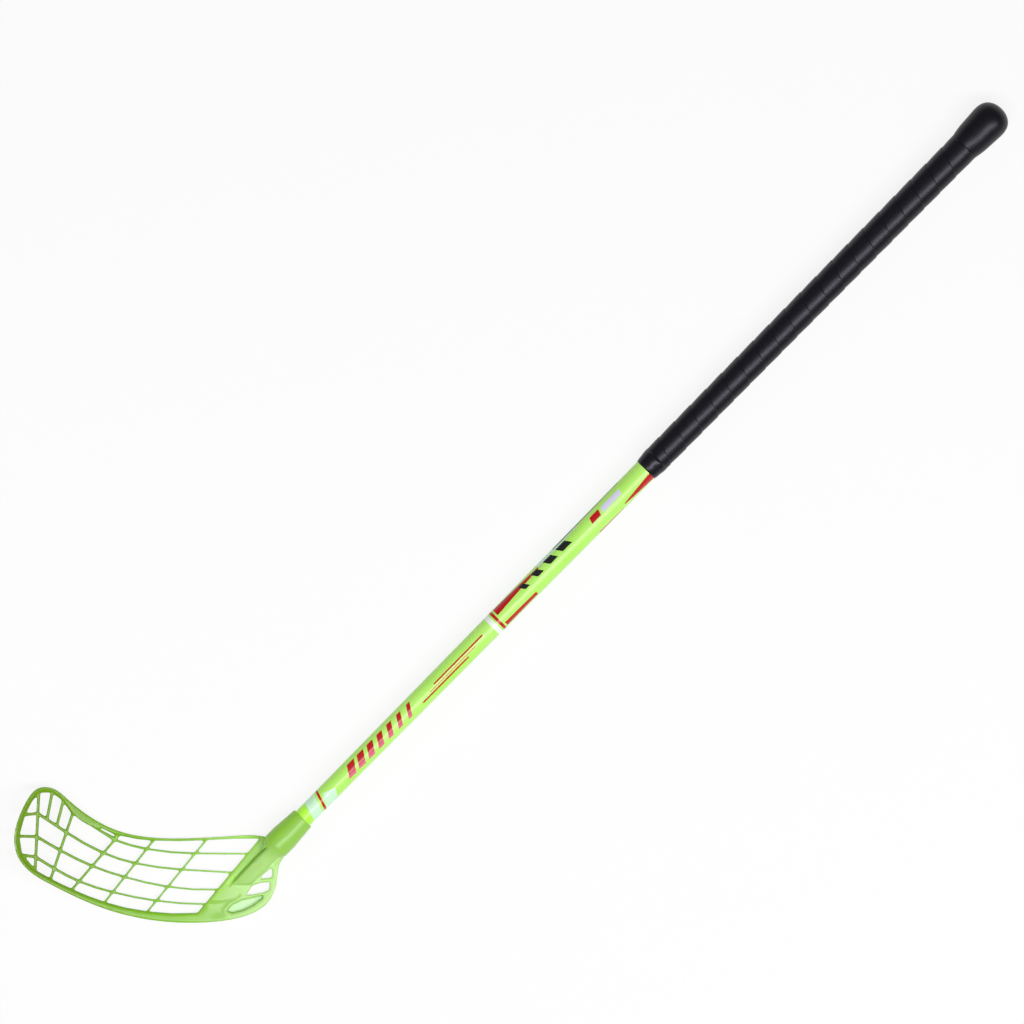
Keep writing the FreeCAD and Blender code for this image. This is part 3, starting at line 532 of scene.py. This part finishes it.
def make_blade():
    """The moulding: the solid's shape with every edge and window corner rounded, as a mould rounds them."""
    bm = bmesh.new()
    bm.from_mesh(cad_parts["blade"].data)
    bmesh.ops.remove_doubles(bm, verts=bm.verts, dist=DOUBLES)
    rough = mesh_of(bm, "blade_rough")
    # The narrow slot between the top rim and its first rib, by the toe
    bm = bmesh.new()
    reach = 40 * MM  # past the blade on both sides
    slot = bm.faces.new([bm.verts.new((*on_blade(x, y), -reach)) for x, y in SLOT_SHARES])
    cut = bmesh.ops.extrude_face_region(bm, geom=[slot])["geom"]
    far = [v for v in cut if isinstance(v, bmesh.types.BMVert)]
    bmesh.ops.translate(bm, verts=far, vec=(0, 0, 2 * reach))
    rough = less(rough, mesh_of(bm, "slot"))
    soft = applied(rough, "REMESH", mode="VOXEL", voxel_size=0.75 * MM, adaptivity=0.0)
    bm = bmesh.new()
    bm.from_mesh(soft)
    smoothed(bm, bm.verts, rounds=5)
    # The web's step runs out softly at its toe end and towards the sole
    smoothed(bm, [v for v in bm.verts if in_run_out(v.co)], rounds=60, plan=False)
    # A crease as deep as it is wide to each side follows the step's upper edge, on the front
    bm.normal_update()
    line = [on_blade(x, y) for x, y in STEP_SHARES]
    crease, near = 1.2 * MM, 30 * MM
    for v in bm.verts:
        if v.normal.z > 0.2 and (v.co.xy - line[2]).length < near:
            v.co.z -= max(0.0, crease - from_line(v.co.xy, line))
    # The front of the socket's end flows into the spine and the web
    root_start, root_end, root_side = 38 * MM, 64 * MM, 20 * MM
    root = [v for v in bm.verts
            if v.co.z > 0 and abs(v.co.y) < root_side and root_start < RIM - v.co.x < root_end]
    smoothed(bm, root, rounds=30)
    # What the smoothing took off is put back on, and the bore is kept clear of the tube
    skin, bore_edge = 0.05 * MM, SOCKET_BORE + 0.4 * MM
    bm.normal_update()
    for v in bm.verts:
        v.co += v.normal * skin
        from_axis = math.hypot(v.co.y, v.co.z)
        if v.co.x > RIM - SOCKET_DEPTH and 0 < from_axis < bore_edge:
            v.co.yz = v.co.yz * max(1.0, SOCKET_BORE / from_axis)
    # Thickness of the wall under each point, for the painted light that shines through it; none is painted on
    # the socket
    tree = BVHTree.FromBMesh(bm)
    wall = bm.verts.layers.float.new("wall")
    thick = 12.0  # in millimetres; no light passes
    for v in bm.verts:
        place, _, _, depth = tree.ray_cast(v.co - v.normal * skin, -v.normal)
        backed = v.co.x > RIM - HOSEL_END and math.hypot(v.co.y, v.co.z) < HOSEL_RADIUS + MM
        v[wall] = thick if backed or not place else min(depth / MM, thick)
    mesh = mesh_of(bm, "blade_moulding")
    finish_piece("blade_moulding", mesh, blade_plastic(), "blade")


def eased(x, start, length):
    """A smooth change from 0 at a place on the axis to 1 a length further on."""
    t = min(1.0, max(0.0, (x - start) / length))
    return t * t * (3 - 2 * t)


def make_grip():
    """The tape as it is wound: one strip whose raised edge laps over the turn above it."""
    low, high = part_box("grip_tape")
    band_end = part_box("finishing_tape")[1].x
    to_lip = 0.45 * MM     # the winding runs on to the cap's lip
    start, end = low.x, high.x + to_lip
    turns, steps = 23, 40  # more turns than the grip needs: both ends are cut off square
    shift = 0.25 * MM      # sets where the edges of the turns fall
    first = start + shift - (TAPE_PITCH + TAPE_OVERLAP) - TAPE_PITCH
    # Across the strip from its blade-side edge, and above the tube, in millimetres
    outline = [
        (0.0, 0.25), (0.0, 1.05), (0.5, 1.36), (1.6, 1.42), (5.0, 1.60), (11.0, 1.80), (18.0, 1.92),
        (21.4, 1.95), (22.5, 1.93), (22.9, 1.78), (23.0, 1.62), (22.9, 1.47), (21.8, 1.46), (21.2, 1.0),
        (21.0, 0.25),
    ]
    bm = bmesh.new()
    strip = section_loop(bm, [(first + u * MM, SPUN_RADIUS + h * MM) for u, h in outline])
    bmesh.ops.spin(
        bm, geom=strip, cent=(0, 0, 0), axis=(1, 0, 0), dvec=(TAPE_PITCH / steps, 0, 0),
        angle=-2 * math.pi * turns, steps=turns * steps,
    )
    outer_face = 1.2 * MM               # points above this are on the strip's outer face
    level, full = 1.55 * MM, 1.95 * MM  # its height where the band holds it, and at its highest
    uneven, patch = 0.07 * MM, 9 * MM   # how uneven the winding is, and over what length
    free_from, swell_from = band_end - 1 * MM, end - 14 * MM
    held_share, swell_share, start_share = 0.25, 0.85, 0.45
    for v in bm.verts:
        from_axis = math.hypot(v.co.y, v.co.z)
        height = from_axis - SPUN_RADIUS
        if height > outer_face:
            # Pressed level where the band holds it, uneven where it is free
            free = eased(v.co.x, free_from, length=6 * MM)
            height = level + (height - level) * (held_share + (1 - held_share) * free)
            height += uneven * free * noise.noise(v.co / patch)
            # The last turn swells to meet the cap's lip
            height += (full - height) * swell_share * eased(v.co.x, swell_from, length=13 * MM)
        # The band squeezes the first few millimetres thin
        height *= start_share + (1 - start_share) * eased(v.co.x, start, length=9 * MM)
        v.co.yz = v.co.yz * ((tube_radius(v.co.x) + height) / from_axis)
    for place, way in ((start, -1), (end, 1)):
        cut = bmesh.ops.bisect_plane(
            bm, geom=bm.verts[:] + bm.edges[:] + bm.faces[:], plane_co=(place, 0, 0), plane_no=(way, 0, 0),
            clear_outer=True,
        )
        rim = [e for e in cut["geom_cut"] if isinstance(e, bmesh.types.BMEdge)]
        bmesh.ops.edgeloop_fill(bm, edges=rim)
    mesh = mesh_of(bm, "grip_winding")
    finish_piece("grip_winding", mesh, grip_foam(), "grip_tape")


def make_band():
    """The vinyl band: a turn and a quarter of thin tape over the end of the winding and the bare tube."""
    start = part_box("finishing_tape")[0].x
    film, rise = 0.13 * MM, 0.15 * MM  # the film's thickness, and how far it climbs in a turn
    steps, turns = 80, 1.25
    # Along the tube from the band's lower edge, and above the tube, in millimetres
    outline = [
        (0.0, 0.05), (1.5, 0.34), (3.0, 0.65), (4.0, 0.81), (5.5, 0.88), (7.0, 1.05), (8.5, 1.27),
        (10.0, 1.49), (11.5, 1.65), (13.0, 1.70), (15.9, 1.70),
    ]
    bm = bmesh.new()
    inner = [(start + u * MM, h * MM) for u, h in outline]
    outer = [(x, h + film) for x, h in reversed(inner)]
    corners = inner + outer
    section = section_loop(bm, [(x, SPUN_RADIUS + h) for x, h in corners])
    bmesh.ops.spin(
        bm, geom=section, cent=(0, 0, 0), axis=(1, 0, 0),
        angle=-2 * math.pi * turns, steps=int(steps * turns),
    )
    bm.verts.ensure_lookup_table()
    bm.verts.index_update()
    for v in bm.verts:
        climbed = rise * (v.index // len(corners)) / steps
        from_axis = math.hypot(v.co.y, v.co.z)
        v.co.yz = v.co.yz * ((tube_radius(v.co.x) + from_axis - SPUN_RADIUS + climbed) / from_axis)
    bmesh.ops.holes_fill(bm, edges=bm.edges, sides=0)
    mesh = mesh_of(bm, "vinyl_band")
    finish_piece("vinyl_band", mesh, vinyl_tape(), "finishing_tape")


def make_cap():
    """The butt cap: a flared rubber knob with a full round end and a rolled lower lip."""
    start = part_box("butt_cap")[0].x
    # From the lower lip, and radius, in millimetres
    outside = [
        (0.0, 14.6), (0.0, 15.0), (0.1, 15.24), (0.5, 15.34), (1.4, 15.52), (5.0, 16.25), (9.0, 16.85),
        (13.0, 17.25), (20.0, 17.6), (27.0, 18.05), (32.0, 18.38), (36.0, 18.25), (39.6, 17.6), (43.5, 16.0),
        (47.0, 12.9), (49.6, 8.4), (50.7, 4.0), (50.85, 1.6), (50.0, 1.1), (49.9, 0.0),
    ]
    inside = [(43.0, 0.0), (43.0, 12.8), (42.5, 13.5), (1.0, 13.5), (0.3, 13.7)]
    bm = bmesh.new()
    corners = [bm.verts.new((start + u * MM, 0.0, r * MM)) for u, r in outside + inside]
    edges = [bm.edges.new((a, b)) for a, b in zip(corners, corners[1:] + corners[:1])
             if max(a.co.z, b.co.z) > 0]
    bmesh.ops.spin(
        bm, geom=corners + edges, cent=(0, 0, 0), axis=(1, 0, 0), angle=2 * math.pi, steps=48, use_merge=True,
    )
    bmesh.ops.remove_doubles(bm, verts=bm.verts, dist=DOUBLES)
    mesh = mesh_of(bm, "butt_knob")
    piece = finish_piece("butt_knob", mesh, cap_rubber(), "butt_cap")
    fine = piece.modifiers.new("rounding", "SUBSURF")
    fine.levels = fine.render_levels = 2


def make_screw(name, number, steel):
    """A countersunk screw, head down, with a cross recess and a rolled thread."""
    low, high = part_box(name)
    middle = (low + high) / 2
    crown = low.z
    bm = bmesh.new()
    # Depth from the head's crown, and radius, in millimetres
    outline = [(0.0, 0.0), (0.0, 2.6), (0.15, 3.1), (0.45, 3.25), (1.6, 1.75)]
    depth, thread_end, thread_pitch = 2.0, 7.2, 0.7
    while depth < thread_end:
        outline += [(depth, 1.72), (depth + thread_pitch / 2, 1.35)]
        depth += thread_pitch
    outline += [(7.4, 1.4), (8.0, 0.6), (8.0, 0.0)]
    corners = [bm.verts.new((r * MM, 0.0, crown + d * MM)) for d, r in outline]
    edges = [bm.edges.new(pair) for pair in zip(corners, corners[1:])]
    bmesh.ops.spin(
        bm, geom=corners + edges, cent=(0, 0, 0), axis=(0, 0, 1), angle=2 * math.pi, steps=40, use_merge=True,
    )
    bmesh.ops.remove_doubles(bm, verts=bm.verts, dist=DOUBLES)
    turned = mesh_of(bm, "screw_turned")
    # The cross recess: two crossed wings that narrow towards their foot, each screw stopped at another turn
    bm = bmesh.new()
    mouth, foot = (3.6, 0.8, -0.5), (1.6, 0.55, 1.5)  # length, width and depth of a wing, in millimetres
    for quarter in range(2):
        wing = bmesh.ops.create_cube(bm, size=1.0)["verts"]
        for v in wing:
            length, width, deep = foot if v.co.z > 0 else mouth
            v.co = Vector((v.co.x * length, v.co.y * width, deep)) * MM
        stopped = math.pi / 2 * quarter + 0.5 + number
        bmesh.ops.rotate(bm, verts=wing, cent=(0, 0, 0), matrix=Matrix.Rotation(stopped, 3, "Z"))
        bmesh.ops.translate(bm, verts=wing, vec=(0, 0, crown))
    mesh = less(turned, mesh_of(bm, "punch"))
    mesh.transform(Matrix.Translation((middle.x, middle.y, 0.0)))
    finish_piece(name.replace("blade_", "") + "_zinc", mesh, steel, name)
    mesh.set_sharp_from_angle(angle=math.radians(35))


make_blade()
make_grip()
make_band()
make_cap()
steel = screw_steel()
for number, name in enumerate(("blade_screw_upper", "blade_screw_lower")):
    make_screw(name, number, steel)
for name, material in (("shaft_tube", shaft_lacquer()), ("end_plug", plug_plastic())):
    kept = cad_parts[name].data
    kept.materials.clear()
    kept.materials.append(material)


# Floor and light

bm = bmesh.new()
bmesh.ops.create_grid(bm, x_segments=2, y_segments=2, size=6.0)
bmesh.ops.translate(bm, verts=bm.verts, vec=(MIDDLE.x, MIDDLE.y, FLOOR - FLOOR_GAP))
floor_mesh = mesh_of(bm, "floor")
floor_mesh.materials.append(floor_paper())
floor = bpy.data.objects.new("floor", floor_mesh)
bpy.context.scene.collection.objects.link(floor)


def softbox(name, place, target, width, length, watts):
    """A rectangular soft light that faces a point, its length level across the picture."""
    light = bpy.data.lights.new(name, "AREA")
    light.shape = "RECTANGLE"
    light.size, light.size_y = length, width
    light.energy = watts
    lamp = bpy.data.objects.new(name, light)
    away = (Vector(place) - Vector(target)).normalized()
    along = ALONG_BLADE.to_3d()
    across = away.cross(along).normalized()
    along = across.cross(away)
    turn = Matrix((along, across, away)).transposed()
    lamp.matrix_world = Matrix.Translation(place) @ turn.to_4x4()
    bpy.context.scene.collection.objects.link(lamp)


# A long bank of light high on the heel's side of the stick, and a small one beside the toe
softbox("key", place=(-0.40, -0.92, 2.4), target=(-0.40, 0.0, 0.0), width=0.55, length=3.6, watts=68.0)
softbox("fill", place=(-1.15, 0.6, 0.9), target=(-0.75, 0.05, 0.0), width=0.6, length=0.6, watts=1.6)

world = bpy.data.worlds.new("studio")
world.use_nodes = True
sky = world.node_tree.nodes["Background"]
sky.inputs["Color"].default_value = (0.98, 0.99, 1.0, 1.0)
sky.inputs["Strength"].default_value = 0.23
bpy.context.scene.world = world

bpy.context.view_layer.update()
